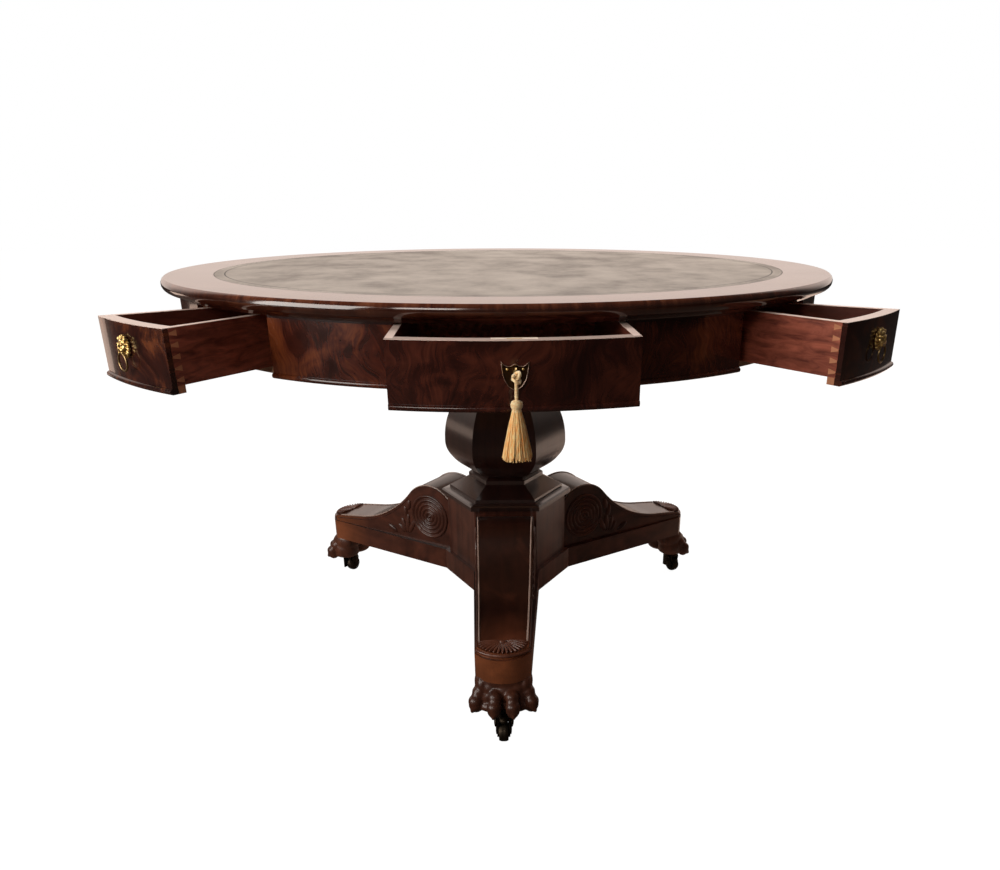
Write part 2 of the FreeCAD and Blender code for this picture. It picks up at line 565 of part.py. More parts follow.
def leg_plan(name, near, half, tip_half):
    return outline(name, FLAT, [
        (half, "-(%s)" % near), ("-(%s)" % half, "-(%s)" % near), ("-(%s)" % tip_half, "-leg_out"),
        (tip_half, "-leg_out")], {2: ("(band_tip_half ^ 2 + leg_bow ^ 2) / (2 * leg_bow)", 1)})


scroll_plan = padded("scroll_plan", leg_plan("scroll_plan_outline", BLOCK_HALF, "leg_half", "leg_tip_half"),
                     "2 * table_height")
scroll = joined("MultiCommon", "leg_scroll", [padded("scroll_pad", scroll_side, "4 * leg_half"), scroll_plan])
band_plan = padded("band_plan", leg_plan("band_plan_outline", BAND_HALF, "band_half", "band_tip_half"),
                   "2 * table_height")
band_slab = block("band_slab", "-2 * band_half", "2 * band_half", BAND_HALF, "leg_out + 2 * leg_bow",
                  "leg_bottom", "band_top")
scroll_band = joined("MultiCommon", "leg_band", [band_slab, band_plan])
leg = joined("MultiFuse", "leg_body", [scroll, scroll_band])
LEGS = {"front": BASE_TURN, "right": BASE_TURN + 120, "left": BASE_TURN + 240}
for side, turn in LEGS.items():
    copies("leg_" + side, leg, [(turn, "0")])

# Paw under each toe, rounded forward; the toes and claws are carved on it.
paw_side = outline("paw_side", SIDEWAYS, [
    ("paw_back", "leg_bottom"), ("paw_back", "paw_bottom"), ("paw_out - paw_nose_in", "paw_bottom"),
    ("paw_out", "paw_bottom + paw_nose_up"), ("leg_out + leg_bow", "leg_bottom")],
    {2: ("paw_nose_round", 1), 3: ("paw_brow_round", 1)})
paw_plan = outline("paw_plan", FLAT, [
    ("paw_heel_half", "-paw_back"), ("-paw_heel_half", "-paw_back"), ("-paw_half", "-caster_out"),
    ("paw_half", "-caster_out")],
    {2: ("(paw_half ^ 2 + (paw_out - caster_out) ^ 2) / (2 * (paw_out - caster_out))", 1)})
paw = joined("MultiCommon", "paw_body", [padded("paw_pad", paw_side, "4 * paw_half"),
                                         padded("paw_plan_pad", paw_plan, "table_height")])
places = [(turn, "0") for turn in LEGS.values()]
copies("paw_feet", paw, places)

# Casters: a fixed plate, a swivelling fork with the axle, and a wheel, trailing three ways.
plate = round_post("caster_plate", "swivel_radius", "paw_bottom - swivel_thick", "paw_bottom")
swivel_hole = round_post("swivel_hole", "axle_radius + pin_fit", "paw_bottom - 2 * swivel_thick",
                         "paw_bottom + overcut")
caster_plate = cut("caster_plate_bored", plate, swivel_hole)
FORK_TOP = "(paw_bottom - swivel_thick - run_gap)"
fork_disc = round_post("fork_disc", "swivel_radius - swivel_inset", FORK_TOP + " - swivel_thick", FORK_TOP)
fork_pin = round_post("fork_pin", "axle_radius", FORK_TOP, "paw_bottom - run_gap")
cheeks = []
for side in (-1, 1):
    inner_edge = "(wheel_wide / 2 + run_gap)"
    edges = (inner_edge, inner_edge + " + fork_cheek")
    left, right = edges if side > 0 else ("-(%s)" % edges[1], "-" + edges[0])
    cheeks.append(block("fork_cheek_%d" % (side + 1), left, right, "-fork_half", "caster_trail + fork_half",
                        "wheel_radius - 2 * axle_radius", FORK_TOP + " - swivel_thick / 4"))
axle_half = "wheel_wide / 2 + run_gap + fork_cheek / 3"
axle = cross_rod("fork_axle", "axle_radius", axle_half, "caster_trail", "wheel_radius")
fork = joined("MultiFuse", "fork_body", [fork_disc, fork_pin, axle] + cheeks)
tread = cross_rod("wheel_tread", "wheel_radius", "wheel_wide / 2", "caster_trail", "wheel_radius")
wheel_bore = cross_rod("wheel_bore", "axle_radius + pin_fit", "wheel_wide", "caster_trail", "wheel_radius")
crown = doc.addObject("Part::Sphere", "wheel_crown")
lift(bind(crown, Radius="wheel_radius + run_gap"), "wheel_radius", "caster_trail")
wheel = cut("wheel_body", joined("MultiCommon", "wheel_tire", [tread, crown]), wheel_bore)
TRAILS = {"front": -4, "right": 30, "left": 150}
plates = []
for side, turn in LEGS.items():
    plates.append(turned(joined("Compound", "plate_" + side, [caster_plate]), turn, "caster_out"))
    for name, pattern in (("fork", fork), ("wheel", wheel)):
        obj = joined("Compound", "caster_%s_%s_node" % (name, side), [pattern])
        turned(obj, turn, "caster_out")
        obj.Placement.Rotation = FreeCAD.Rotation(Z_AXIS, TRAILS[side])
        keep("caster_%s_%s" % (name, side), obj)
keep("caster_plates", joined("Compound", "caster_plates_node", plates))

doc.recompute()
for obj in doc.Objects:
    if "Invalid" in obj.State or "Error" in obj.State:
        raise RuntimeError("%s: %s" % (obj.Name, obj.State))
os.makedirs("parts", exist_ok=True)
for name, obj in NODES.items():
    shape = obj.Shape
    if shape.isNull() or not shape.isValid() or not shape.Solids:
        raise RuntimeError(name + " has no sound solid")
    shape.exportStep("parts/" + name + ".step")
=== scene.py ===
import bpy
import bmesh
import math
import random
from mathutils import Matrix, Vector


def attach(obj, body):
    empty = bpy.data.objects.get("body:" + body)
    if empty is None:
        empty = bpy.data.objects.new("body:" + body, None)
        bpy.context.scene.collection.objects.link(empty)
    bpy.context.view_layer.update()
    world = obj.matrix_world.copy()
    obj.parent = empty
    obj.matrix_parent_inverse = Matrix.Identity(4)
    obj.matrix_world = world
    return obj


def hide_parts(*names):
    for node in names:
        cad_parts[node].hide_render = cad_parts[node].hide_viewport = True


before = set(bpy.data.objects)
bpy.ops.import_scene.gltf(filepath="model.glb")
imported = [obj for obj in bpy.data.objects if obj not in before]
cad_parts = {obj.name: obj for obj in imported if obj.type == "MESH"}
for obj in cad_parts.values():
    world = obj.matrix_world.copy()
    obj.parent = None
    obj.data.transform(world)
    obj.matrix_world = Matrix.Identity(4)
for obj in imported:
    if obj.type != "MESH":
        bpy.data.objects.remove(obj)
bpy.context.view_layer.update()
scene = bpy.context.scene

# Camera: held a little above the table top, straight in front of the front
# drawer, looking down and slightly to the right of the column.
CAMERA_DOWN = 0.4079
CAMERA_TURN = math.radians(-3.709)
camera = bpy.data.objects.new("camera", bpy.data.cameras.new("camera"))
scene.collection.objects.link(camera)
scene.camera = camera
camera.data.lens = 29.496
camera.data.shift_x = -0.0418
camera.data.shift_y = 0.1158
camera.location = (-0.0315, -1.6709, 0.8734)
camera.rotation_euler = (math.pi / 2 - CAMERA_DOWN, 0, CAMERA_TURN)
camera.data.clip_end = 60
scene.view_settings.view_transform = "Standard"


# Tassel cord: two-ply cream silk, tied to the bow of the key in the front lock
# and hanging straight down; its last third is fixed inside the tassel's head.
def add_node(tree, kind, values=None, **settings):
    """A shader node with its settings and its inputs, each a value or a socket to link."""
    made = tree.nodes.new("ShaderNode" + kind)
    for key, value in settings.items():
        setattr(made, key, value)
    for key, value in (values or {}).items():
        if isinstance(value, bpy.types.NodeSocket):
            tree.links.new(value, made.inputs[key])
        else:
            made.inputs[key].default_value = value
    return made


def new_material(name):
    """A material with an empty surface, its node tree and its output node."""
    material = bpy.data.materials.new(name)
    material.use_nodes = True
    tree = material.node_tree
    tree.nodes.clear()
    return material, tree, tree.nodes.new("ShaderNodeOutputMaterial")


def ramp(tree, fac, *stops):
    """A colour ramp through (position, colour) stops."""
    made = add_node(tree, "ValToRGB", {0: fac})
    keys = made.color_ramp.elements
    while len(keys) < len(stops):
        keys.new(1.0)
    for key, (at, colour) in zip(keys, stops):
        key.position = at
        key.color = (*colour, 1)
    return made.outputs[0]


def own_place(tree):
    """Where a point lies, in the piece's own coordinates."""
    return add_node(tree, "TexCoord").outputs["Object"]


def cloudy(tree, place, scale, detail=2, rough=0.5, warp=0.0):
    """A grey noise between 0 and 1."""
    return add_node(tree, "TexNoise", {
        "Vector": place, "Scale": scale, "Detail": detail, "Roughness": rough,
        "Distortion": warp}).outputs[0]


def dented(tree, height, strength, deep):
    """The normal of a surface dented by a height, so many metres deep."""
    return add_node(tree, "Bump", {"Strength": strength, "Distance": deep, "Height": height}).outputs[0]


def coat_with(tree, out, values):
    """Ends a material in one principled surface with these inputs."""
    surface = add_node(tree, "BsdfPrincipled", values)
    tree.links.new(surface.outputs[0], out.inputs["Surface"])


def silk(name, dark, light, plies):
    """Twisted silk with so many plies to the metre each way and a soft sheen."""
    material, tree, out = new_material(name)
    run = add_node(tree, "Mapping", {"Vector": own_place(tree), "Scale": plies})
    ply = cloudy(tree, run.outputs[0], 1.0, 3, 0.6)
    coat_with(tree, out, {
        "Base Color": ramp(tree, ply, (0.34, dark), (0.62, light)), "Roughness": 0.62,
        "Sheen Weight": 0.5, "Normal": dented(tree, ply, 0.5, 0.0006)})
    return material


def curve_object(name, runs, thick, material, spline="POLY"):
    """A tube along each run of points; a NURBS run is drawn to its own ends."""
    data = bpy.data.curves.new(name, "CURVE")
    data.dimensions = "3D"
    data.bevel_depth = thick
    data.bevel_resolution = 3
    data.use_fill_caps = True
    for run in runs:
        line = data.splines.new(spline)
        line.points.add(len(run) - 1)
        for point, place in zip(line.points, run):
            point.co = (*place, 1)
        if spline == "NURBS":
            line.order_u = 3
            line.use_endpoint_u = True
    data.materials.append(material)
    made = bpy.data.objects.new(name, data)
    scene.collection.objects.link(made)
    return made


HANG_OUT = -0.7355
CORD_TOP = 0.6787
CORD_FOOT = 0.6587
CORD_LONG = 0.0302
CORD_THICK = 0.0044
CORD_STEPS = 6
cord_silk = silk("cord_silk", (0.95, 0.56, 0.22), (1.0, 0.86, 0.52), (500, 500, 650))
cord_run = [(0, HANG_OUT, CORD_TOP - CORD_LONG * i / CORD_STEPS) for i in range(CORD_STEPS + 1)]
cord = curve_object("silk_cord", [cord_run], CORD_THICK / 2, cord_silk, "NURBS")
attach(cord, "tassel")
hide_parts("tassel_cord")

# Tassel: a wrapped silk ball over a skirt of hanging gold threads, cut to an
# uneven length at the foot and lying open like a bell.
HEAD_DEEP = 0.0102
SKIRT_TOP = CORD_FOOT - HEAD_DEEP
SKIRT_FOOT = 0.5882
SKIRT_INNER = 0.0045
SKIRT_OUTER = 0.0178
SKIRT_FLARE = 0.8
THREADS = 300
THREAD_RADIUS = 0.0007
threads = random.Random(4)
skirt_runs = []
for i in range(THREADS):
    turn = threads.uniform(0, 2 * math.pi)
    inner = SKIRT_INNER * math.sqrt(threads.uniform(0.1, 1))
    outer = SKIRT_OUTER * math.sqrt(threads.uniform(0.3, 1))
    foot = SKIRT_FOOT + threads.uniform(-0.001, 0.006)
    run = []
    for step in (0, 0.25, 0.5, 0.75, 1):
        spread = inner + (outer - inner) * step ** SKIRT_FLARE
        drop = SKIRT_TOP + (foot - SKIRT_TOP) * step
        run.append((spread * math.cos(turn), HANG_OUT + spread * math.sin(turn), drop))
    skirt_runs.append(run)
skirt_silk = silk("skirt_silk", (0.95, 0.42, 0.09), (1.0, 0.78, 0.36), (700, 700, 12))
skirt = curve_object("tassel_skirt", skirt_runs, THREAD_RADIUS, skirt_silk)


def mesh_object(name, verts, faces, material, smooth=True):
    """An object from corners and faces, shaded smooth or flat."""
    data = bpy.data.meshes.new(name)
    data.from_pydata([tuple(v) for v in verts], [], faces)
    data.update()
    if smooth:
        data.polygons.foreach_set("use_smooth", [True] * len(data.polygons))
    data.materials.append(material)
    made = bpy.data.objects.new(name, data)
    scene.collection.objects.link(made)
    return made


def lathe(name, profile, material, steps=48, place=Matrix.Identity(4)):
    """A turned form: (radius, height) pairs spun about local Z and set in place."""
    verts = []
    faces = []
    for radius, height in profile:
        for k in range(steps):
            turn = 2 * math.pi * k / steps
            verts.append(place @ Vector((radius * math.cos(turn), radius * math.sin(turn), height)))
    for row in range(len(profile) - 1):
        for k in range(steps):
            a = row * steps + k
            b = row * steps + (k + 1) % steps
            faces.append((a, b, b + steps, a + steps))
    return mesh_object(name, verts, faces, material)


head_profile = [(0.0001, 0.0002), (0.003, -0.0005), (0.0062, -0.0022), (0.0074, -0.0057), (0.0068, -0.0092),
                (0.0052, -0.0112), (0.0055, -0.0122), (0.0060, -0.0132), (0.0050, -0.0147), (0.006, -0.0182),
                (0.0001, -0.0187)]
head = lathe("tassel_head", head_profile, cord_silk, place=Matrix.Translation((0, HANG_OUT, CORD_FOOT)))
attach(skirt, "tassel")
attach(head, "tassel")
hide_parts("tassel")

# Knot: the same cord looped through the bow of the key and tied in front of it;
# it turns with the key, while the cord and tassel below it swing by themselves.
KEY_UP = 0.684
KNOT_STEPS = 59
KNOT_RADIUS = 0.0021
KNOT_AHEAD = 0.0012
KNOT_HALF = 0.0038
KNOT_DEEP = 0.0034
KNOT_TALL = 0.0045
KNOT_WEAVE = 0.0018
knot_run = []
for i in range(KNOT_STEPS + 1):
    t = 2 * math.pi * i / KNOT_STEPS
    knot_run.append((KNOT_HALF * math.sin(2 * t), HANG_OUT - KNOT_AHEAD + KNOT_DEEP * math.cos(3 * t),
                     KEY_UP + KNOT_TALL * math.cos(t) + KNOT_WEAVE * math.sin(3 * t)))
knot = curve_object("silk_knot", [knot_run], KNOT_RADIUS, cord_silk)
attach(knot, "key")
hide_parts("tassel_knot")


# Floor and room: a wide pale sheet under the table, a bright wall behind it, a
# window to the left and a dim room on the camera's side.
def mapped(tree, value, low, high, to_low=0.0, to_high=1.0, kind="LINEAR"):
    """A value carried from one range to another and held at its ends."""
    return add_node(tree, "MapRange", {
        "Value": value, "From Min": low, "From Max": high, "To Min": to_low, "To Max": to_high},
        interpolation_type=kind).outputs[0]


def blend(tree, share, first, second):
    """The first colour where the share is 0, the second where it is 1."""
    return add_node(tree, "Mix", {0: share, 6: first, 7: second}, data_type="RGBA").outputs[2]


def calc(tree, kind, a, b=0.0, c=0.0):
    """The result of a math node."""
    return add_node(tree, "Math", {0: a, 1: b, 2: c}, operation=kind).outputs[0]


SHADOW_SHARE = 0.12
SHEET_GLOW = 1.12
FLOOR_DIM = (0.08, 0.08, 0.08)
FLOOR_PAINTED_LIGHT = (0.95, 0.77, 0.67)
FLOOR_PAINTED_SHADE = (0.10, 0.075, 0.063, 1)
floor_paint, tree, out = new_material("floor_paint")
ray = add_node(tree, "LightPath")
glow = add_node(tree, "Emission", {"Color": (1, 1, 1, 1), "Strength": SHEET_GLOW})
sheet = add_node(tree, "BsdfDiffuse", {"Color": (0.95, 0.95, 0.95, 1)})
seen = add_node(tree, "MixShader", {0: SHADOW_SHARE, 1: glow.outputs[0], 2: sheet.outputs[0]})
# Seen only in reflections, the floor carries painted shade towards the camera and a painted pool of warm
# light to the right.
along = add_node(tree, "SeparateXYZ", {0: own_place(tree)})
lit = ramp(tree, mapped(tree, along.outputs[0], -3.0, 3.0),
           (0.0, FLOOR_DIM), (0.36, (0.12, 0.09, 0.075)), (0.5, (0.34, 0.27, 0.23)),
           (0.68, FLOOR_PAINTED_LIGHT), (0.80, FLOOR_PAINTED_LIGHT), (0.90, FLOOR_DIM))
behind = mapped(tree, along.outputs[1], 0.0, 0.5)
unseen = add_node(tree, "BsdfDiffuse", {"Color": blend(tree, behind, FLOOR_PAINTED_SHADE, lit)})
pick = add_node(tree, "MixShader", {
    0: ray.outputs["Is Camera Ray"], 1: unseen.outputs[0], 2: seen.outputs[0]})
tree.links.new(pick.outputs[0], out.inputs["Surface"])
floor_corners = [(-9, -6, 0), (9, -6, 0), (9, 14, 0), (-9, 14, 0)]
floor = mesh_object("floor", floor_corners, [(0, 1, 2, 3)], floor_paint)

WALL_BRIGHT = 0.75
ROOM_DIM = 0.04
world = bpy.data.worlds.new("room")
scene.world = world
world.use_nodes = True
tree = world.node_tree
tree.nodes.clear()
out = tree.nodes.new("ShaderNodeOutputWorld")
way = add_node(tree, "SeparateXYZ", {0: add_node(tree, "TexCoord").outputs["Generated"]})
back = mapped(tree, way.outputs["Y"], 0.36, 0.62, ROOM_DIM, WALL_BRIGHT, "SMOOTHSTEP")
dim = mapped(tree, way.outputs["Z"], 0.0, 0.3, 0.25, 1.0)
right = mapped(tree, way.outputs["X"], 0.6, 0.85, 1.0, dim, "SMOOTHSTEP")
left = mapped(tree, way.outputs["X"], -0.6, -0.8, 1.0, dim, "SMOOTHSTEP")
bright = calc(tree, "MULTIPLY", back, calc(tree, "MULTIPLY", left, right))
ray = add_node(tree, "LightPath")
room = add_node(tree, "Background", {"Color": (1.0, 0.82, 0.73, 1), "Strength": bright})
white = add_node(tree, "Background", {"Color": (1, 1, 1, 1), "Strength": 1.0})
pick = add_node(tree, "MixShader", {
    0: ray.outputs["Is Camera Ray"], 1: room.outputs[0], 2: white.outputs[0]})
tree.links.new(pick.outputs[0], out.inputs["Surface"])


def soft_light(name, place, target, size, watts, colour, mirrored=True):
    """A rectangular light that no camera ray sees, and no polish unless it is mirrored."""
    lamp = bpy.data.lights.new(name, "AREA")
    lamp.shape = "RECTANGLE"
    lamp.size, lamp.size_y = size
    lamp.energy = watts
    lamp.color = colour
    holder = bpy.data.objects.new(name, lamp)
    scene.collection.objects.link(holder)
    holder.location = place
    holder.visible_camera = False
    holder.visible_glossy = mirrored
    holder.rotation_euler = (Vector(target) - Vector(place)).to_track_quat("-Z", "Y").to_euler()


soft_light("window_left", (-3.0, -1.7, 1.6), (0, 0, 0.5), (2.2, 2.2), 85, (1.0, 0.93, 0.87))
soft_light("lamp_front", (-1.4, -3.2, 2.4), (0, 0, 0.3), (1.2, 1.0), 24, (1.0, 0.9, 0.82))
soft_light("lamp_over", (0.0, 1.5, 3.2), (0, 0, 0.5), (3.0, 1.6), 50, (1.0, 0.97, 0.95))
soft_light("window_back", (-2.76, 1.60, 0.22), (-0.57, -0.45, 0.22), (0.7, 0.36), 0.95, (1.0, 0.74, 0.60))
soft_light("lamp_right", (2.4, 1.0, 1.9), (1.3, 0.6, 0), (1.0, 1.0), 30, (1.0, 0.88, 0.80), mirrored=False)
soft_light("floor_bounce", (0, 0.1, 0.01), (0, 0.1, 1.0), (1.2, 1.0), 1.2, (1.0, 0.80, 0.68), mirrored=False)


# Column, collar and base block: solid mahogany, planed to six sides, nearly black
# with age and French-polished; the collar sits on the block and carries the column.
def round_place(tree, place=None):
    """A position as turn about the table's axis, radius and height."""
    parts = add_node(tree, "SeparateXYZ", {0: place or own_place(tree)})
    x, y, z = parts.outputs[0], parts.outputs[1], parts.outputs[2]
    turn = calc(tree, "ARCTAN2", x, calc(tree, "MULTIPLY", y, -1.0))
    radius = calc(tree, "SQRT", calc(tree, "MULTIPLY_ADD", x, x, calc(tree, "MULTIPLY", y, y)))
    return turn, radius, z


def vector_of(tree, x, y, z):
    return add_node(tree, "CombineXYZ", {0: x, 1: y, 2: z}).outputs[0]


def scaled(tree, value, factor):
    return calc(tree, "MULTIPLY", value, factor)


def darker(colour, share):
    return tuple(part * share for part in colour)


def upward(tree):
    """How far a face looks up: 1 when it lies flat on top."""
    return add_node(tree, "SeparateXYZ", {0: add_node(tree, "NewGeometry").outputs["Normal"]}).outputs[2]


def faced(tree, kind, turn):
    """The "Object" position or the "Normal" with a drawer turned back to face -Y."""
    return add_node(tree, "Mapping", {
        "Vector": add_node(tree, "TexCoord").outputs[kind],
        "Rotation": (0, 0, math.radians(-turn))}).outputs[0]


# Heights where a drawer's lip begins, just over a drawer's floor and just over a leg's ledge, the
# share of painted shade on top of a leg, and the radius at which a turn about the axis is measured.
LIP_UP = 0.7194
FLOOR_UP = 0.65
LEDGE_UP = 0.165
TOP_SHADE_SHARE = 0.72
TURN_REACH = 0.4


def grain_run(tree, along, scale, drawer):
    """The position stretched along the grain, by a drawer's own sides or about the axis."""
    fine = 22 * scale
    slow = 2.2 * scale
    ways = {"up": (fine, fine, slow), "out": (fine, slow, fine), "round": (slow, fine, fine)}[along]
    if drawer is not None:
        own = faced(tree, "Object", drawer)
        return add_node(tree, "VectorMath", {0: own, 1: ways}, operation="MULTIPLY").outputs[0]
    turn, radius, z = round_place(tree)
    return vector_of(tree, scaled(tree, turn, ways[0] * TURN_REACH), scaled(tree, radius, ways[1]),
                     scaled(tree, z, ways[2]))


def paint_inside_shade(tree, colour, dark, z, drawer):
    """Paints shade on a drawer's floor and on the faces that look into it."""
    side = add_node(tree, "SeparateXYZ", {0: faced(tree, "Object", drawer)})
    face = add_node(tree, "SeparateXYZ", {0: faced(tree, "Normal", drawer)})
    inward = calc(tree, "LESS_THAN", calc(tree, "MULTIPLY", side.outputs[0], face.outputs[0]), 0.0)
    bottom = calc(tree, "MULTIPLY", calc(tree, "LESS_THAN", z, FLOOR_UP), face.outputs[2])
    within = calc(tree, "MAXIMUM", inward, bottom)
    return blend(tree, scaled(tree, within, 0.8), colour, (*darker(dark, 0.3), 1))


def tint_leg(tree, colour, dark, end_block, top, radius):
    """Paints shade on the top of a leg short of the toe and changes to the end block's colour past the
    sweep.
    """
    inner = blend(tree, top, colour, (*dark, 1))
    outer = blend(tree, top, end_block, colour)
    return blend(tree, mapped(tree, radius, 0.35, 0.45), inner, outer)


def mahogany(name, dark, light, along, scale=1.0, rough=0.3, coat=0.4, worn=None, edge=(0.36, 0.68),
             lip=None, toe=None, drawer=None, glaze=0.06, shine=1.5):
    """Polished mahogany with grain "up", "out" from the axis or along a drawer, or "round" the axis."""
    material, tree, out = new_material(name)
    radius, z = round_place(tree)[1:]
    run = grain_run(tree, along, scale, drawer)
    streak = cloudy(tree, run, 1.0, 8, 0.62, 0.7)
    broad = cloudy(tree, own_place(tree), 6 * scale, 4, warp=1.4)
    clear = 0.55 if drawer is None else 0.88
    mixed = calc(tree, "MULTIPLY_ADD", streak, clear, scaled(tree, broad, 1 - clear))
    colour = ramp(tree, mixed, (edge[0], dark), (edge[1], light))
    if drawer is not None:
        # Painted shade on the drawer's floor and on its inner faces.
        colour = paint_inside_shade(tree, colour, dark, z, drawer)
    if toe:
        # Painted shade on the tops of the legs.
        top = mapped(tree, upward(tree), 0.3, 0.6, 0.0, TOP_SHADE_SHARE)
        end_block = ramp(tree, mixed, (edge[0], darker(toe, 0.4)), (edge[1], toe))
        colour = tint_leg(tree, colour, dark, end_block, top, radius)
        ledge = calc(tree, "MULTIPLY", top, calc(tree, "LESS_THAN", z, LEDGE_UP))
        coat = calc(tree, "MULTIPLY_ADD", ledge, -coat / TOP_SHADE_SHARE, coat)
    if worn:
        patch = cloudy(tree, own_place(tree), 11, 5, warp=0.8)
        colour = blend(tree, mapped(tree, patch, 0.55, 0.8, 0.0, 0.6), colour, (*worn, 1))
    if lip:
        colour = blend(tree, calc(tree, "GREATER_THAN", z, LIP_UP), colour, (*lip, 1))
    pore = cloudy(tree, run, 7.0, 3)
    coat_with(tree, out, {
        "Base Color": colour, "Roughness": mapped(tree, broad, 0.0, 1.0, rough - 0.08, rough + 0.16),
        "Normal": dented(tree, pore, 0.12, 0.0004), "Coat Weight": coat, "Coat Roughness": glaze,
        "Coat IOR": shine, "Specular IOR Level": 0.35})
    return material


def dress(material, *names):
    """Gives a material to pieces of the frame."""
    for name in names:
        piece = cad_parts[name]
        piece.data.materials.clear()
        piece.data.materials.append(material)


column_wood = mahogany("column_wood", (0.010, 0.003, 0.0022), (0.038, 0.0105, 0.007), "up", coat=0.8,
                       glaze=0.18)
dress(column_wood, "column")
collar_wood = mahogany("collar_wood", (0.006, 0.002, 0.0015), (0.022, 0.0062, 0.0042), "up", coat=1.0,
                       glaze=0.14, shine=1.85)
dress(collar_wood, "column_collar")
block_wood = mahogany("block_wood", (0.024, 0.0075, 0.005), (0.11, 0.036, 0.022), "up", coat=0.6,
                      worn=(0.12, 0.04, 0.022), glaze=0.14)
dress(block_wood, "base_block")

# Legs: three mahogany scroll boards veneered on top, tenoned into the block, each
# on a wider band that ends in a bowed block over the paw.
BASE_TURN = -2.4
LEG_TURNS = {"front": BASE_TURN, "right": BASE_TURN + 120, "left": BASE_TURN + 240}
SCROLL_OUT = 0.165
SCROLL_UP = 0.222
SCROLL_RADIUS = 0.07
SWEEP_FROM = 0.2186
SWEEP_OUT = 0.4102
SWEEP_UP = 0.4275
SWEEP_RADIUS = 0.25
TOE_FROM = 0.375
TOE_UP = 0.180
TOE_FALL = 0.013
TOE_LONG = 0.099
LEG_FROM = 0.109
LEG_HALF = 0.059
TAPER = 0.014
TAPER_LONG = 0.343
PROUD = 0.0002


def leg_veneer(name, toe):
    """The legs' veneer, with a colour of its own for the end block."""
    return mahogany(name, (0.010, 0.003, 0.0022), (0.105, 0.030, 0.016), "out", coat=0.7,
                    worn=(0.13, 0.040, 0.020), toe=toe, glaze=0.12)


def leg_top(out):
    """Height of the leg's upper line: scroll, then sweep, then the flat toe."""
    if out < SWEEP_FROM:
        return SCROLL_UP + math.sqrt(max(SCROLL_RADIUS ** 2 - (out - SCROLL_OUT) ** 2, 0))
    if out < TOE_FROM:
        return SWEEP_UP - math.sqrt(SWEEP_RADIUS ** 2 - (out - SWEEP_OUT) ** 2)
    return TOE_UP - (out - TOE_FROM) * TOE_FALL / TOE_LONG


def leg_half(out):
    """Half the leg's width, which narrows evenly towards the toe."""
    return LEG_HALF - (out - LEG_FROM) * TAPER / TAPER_LONG


def around(turn, out=0.0):
    """Place of something drawn facing -Y, turned about the axis and moved out."""
    return Matrix.Rotation(math.radians(turn), 4, "Z") @ Matrix.Translation((0, -out, 0))


def put(made, turn, out, body):
    """Sets a piece in its place and on its body."""
    made.matrix_world = around(turn, out)
    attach(made, body)
    return made


dress(leg_veneer("leg_wood", (0.27, 0.082, 0.030)), "leg_front", "leg_left")
# The right leg's copy has a darker end block: painted shade, as that leg stands in shadow.
dress(leg_veneer("painted_shade_leg_wood", (0.13, 0.042, 0.018)), "leg_right")
BEAD_FROM = 0.112
BEAD_LONG = 0.326
BEAD_STEPS = 40
BEAD_INSET = 0.004
BEAD_RADIUS = 0.0016
# The leg beads are coloured pale as a painted highlight along them.
painted_highlight_bead = mahogany("painted_highlight_bead", (0.12, 0.070, 0.055), (0.58, 0.43, 0.36), "out", rough=0.2, coat=1.0)
bead_outs = [BEAD_FROM + BEAD_LONG * i / BEAD_STEPS for i in range(BEAD_STEPS + 1)]
for side, turn in LEG_TURNS.items():
    runs = []
    for hand in (-1, 1):
        runs.append([(hand * (leg_half(out) - BEAD_INSET), -out, leg_top(out) + PROUD) for out in bead_outs])
    put(curve_object("leg_beads_" + side, runs, BEAD_RADIUS, painted_highlight_bead), turn, 0, "base")

# Roundels: turned discs with five raised rings and a centre boss, let into both
# flanks of every leg where the scroll is widest.
ROUNDEL_RADIUS = 0.050
ROUNDEL_STEPS = 80
ROUNDEL_SIDES = 64
RING_PITCH = 0.0094
RING_RISE = 0.0030
GROOVE_RISE = 0.0004
EDGE_SUNK = 0.001
CENTRE_RADIUS = 0.0001
ring_profile = []
for i in range(ROUNDEL_STEPS + 1):
    radius = ROUNDEL_RADIUS * (1 - i / ROUNDEL_STEPS)
    crest = 0.5 + 0.5 * math.cos(2 * math.pi * radius / RING_PITCH)
    rise = GROOVE_RISE + RING_RISE * crest ** 0.7
    ring_profile.append((max(radius, CENTRE_RADIUS), rise if i else -EDGE_SUNK))
flank_lean = math.atan2(TAPER, TAPER_LONG)
carved_wood = mahogany("carved_wood", (0.018, 0.005, 0.0035), (0.085, 0.025, 0.013), "out", rough=0.36,
                       coat=0.25)
for side, turn in LEG_TURNS.items():
    for hand, label in ((-1, "a"), (1, "b")):
        face = Matrix.Translation((hand * leg_half(SCROLL_OUT), -SCROLL_OUT, SCROLL_UP))
        face = face @ Matrix.Rotation(-hand * flank_lean, 4, "Z")
        face = face @ Matrix.Rotation(hand * math.pi / 2, 4, "Y")
        made = lathe("roundel_%s_%s" % (side, label), ring_profile, carved_wood, ROUNDEL_SIDES, face)
        put(made, turn, 0, "base")


# Leaf spray: a carved palmette beside each roundel, filling the flank where the
# scroll runs down to the toe, with a raised fillet along the flank's upper edge.
def blob(parts, centre, radii, turn=None):
    """Adds one ellipsoid to a bmesh that is being sculpted."""
    place = Matrix.Translation(centre)
    if turn:
        place = place @ turn
    bmesh.ops.create_uvsphere(parts, u_segments=24, v_segments=16, radius=1,
                              matrix=place @ Matrix.Diagonal((*radii, 1)))


